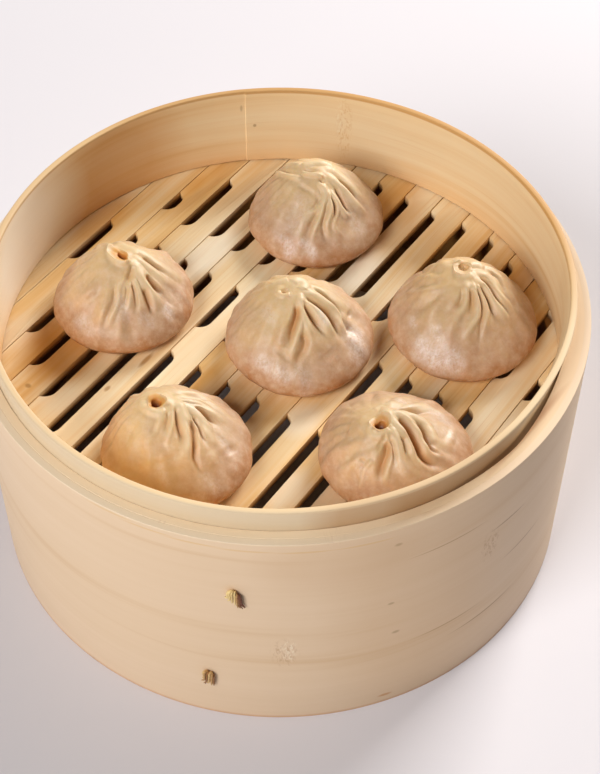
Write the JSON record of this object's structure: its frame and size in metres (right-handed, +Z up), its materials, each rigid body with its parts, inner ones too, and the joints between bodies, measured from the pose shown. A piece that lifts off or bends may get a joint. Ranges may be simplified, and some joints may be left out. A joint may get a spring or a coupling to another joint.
{
  "type": "bamboo steamer basket with soup dumplings",
  "caption": "Round open bamboo steamer tier with a slatted, slotted grate and pleated soup dumplings resting on it, for steaming and serving.",
  "frame": {"origin": "middle of the basket's round bottom edge, on the surface that it stands on", "axes": "+Z up along the basket's axis; -Y towards the front, the side with the cane stitches; +X to the right seen from the front"},
  "size_m": [0.2, 0.201, 0.105],
  "materials": {
    "hoop_bamboo": "satin",
    "inner_bamboo": "satin",
    "grate_bamboo": "matte",
    "under_bamboo": "matte",
    "split_cane": "matte",
    "steamed_dough": "moist, soft gloss"
  },
  "bodies": {
    "root": {"outer_hoop": "hoop_bamboo", "inner_hoop": "inner_bamboo", "lower_ring": "under_bamboo", "grate_slat_01": "grate_bamboo", "grate_slat_02": "grate_bamboo", "grate_slat_03": "grate_bamboo", "grate_slat_04": "grate_bamboo", "grate_slat_05": "grate_bamboo", "grate_slat_06": "grate_bamboo", "grate_slat_07": "grate_bamboo", "grate_slat_08": "grate_bamboo", "grate_slat_09": "grate_bamboo", "grate_slat_10": "grate_bamboo", "grate_slat_11": "grate_bamboo", "grate_slat_12": "grate_bamboo", "grate_slat_13": "grate_bamboo", "grate_slat_14": "grate_bamboo", "grate_slat_15": "grate_bamboo", "grate_slat_16": "grate_bamboo", "cross_bar_1": "under_bamboo", "cross_bar_2": "under_bamboo", "stitch_upper": "split_cane", "stitch_lower": "split_cane", "dumpling_1": "steamed_dough", "dumpling_2": "steamed_dough", "dumpling_3": "steamed_dough", "dumpling_4": "steamed_dough", "dumpling_5": "steamed_dough", "dumpling_6": "steamed_dough"}
  },
  "joints": []
}
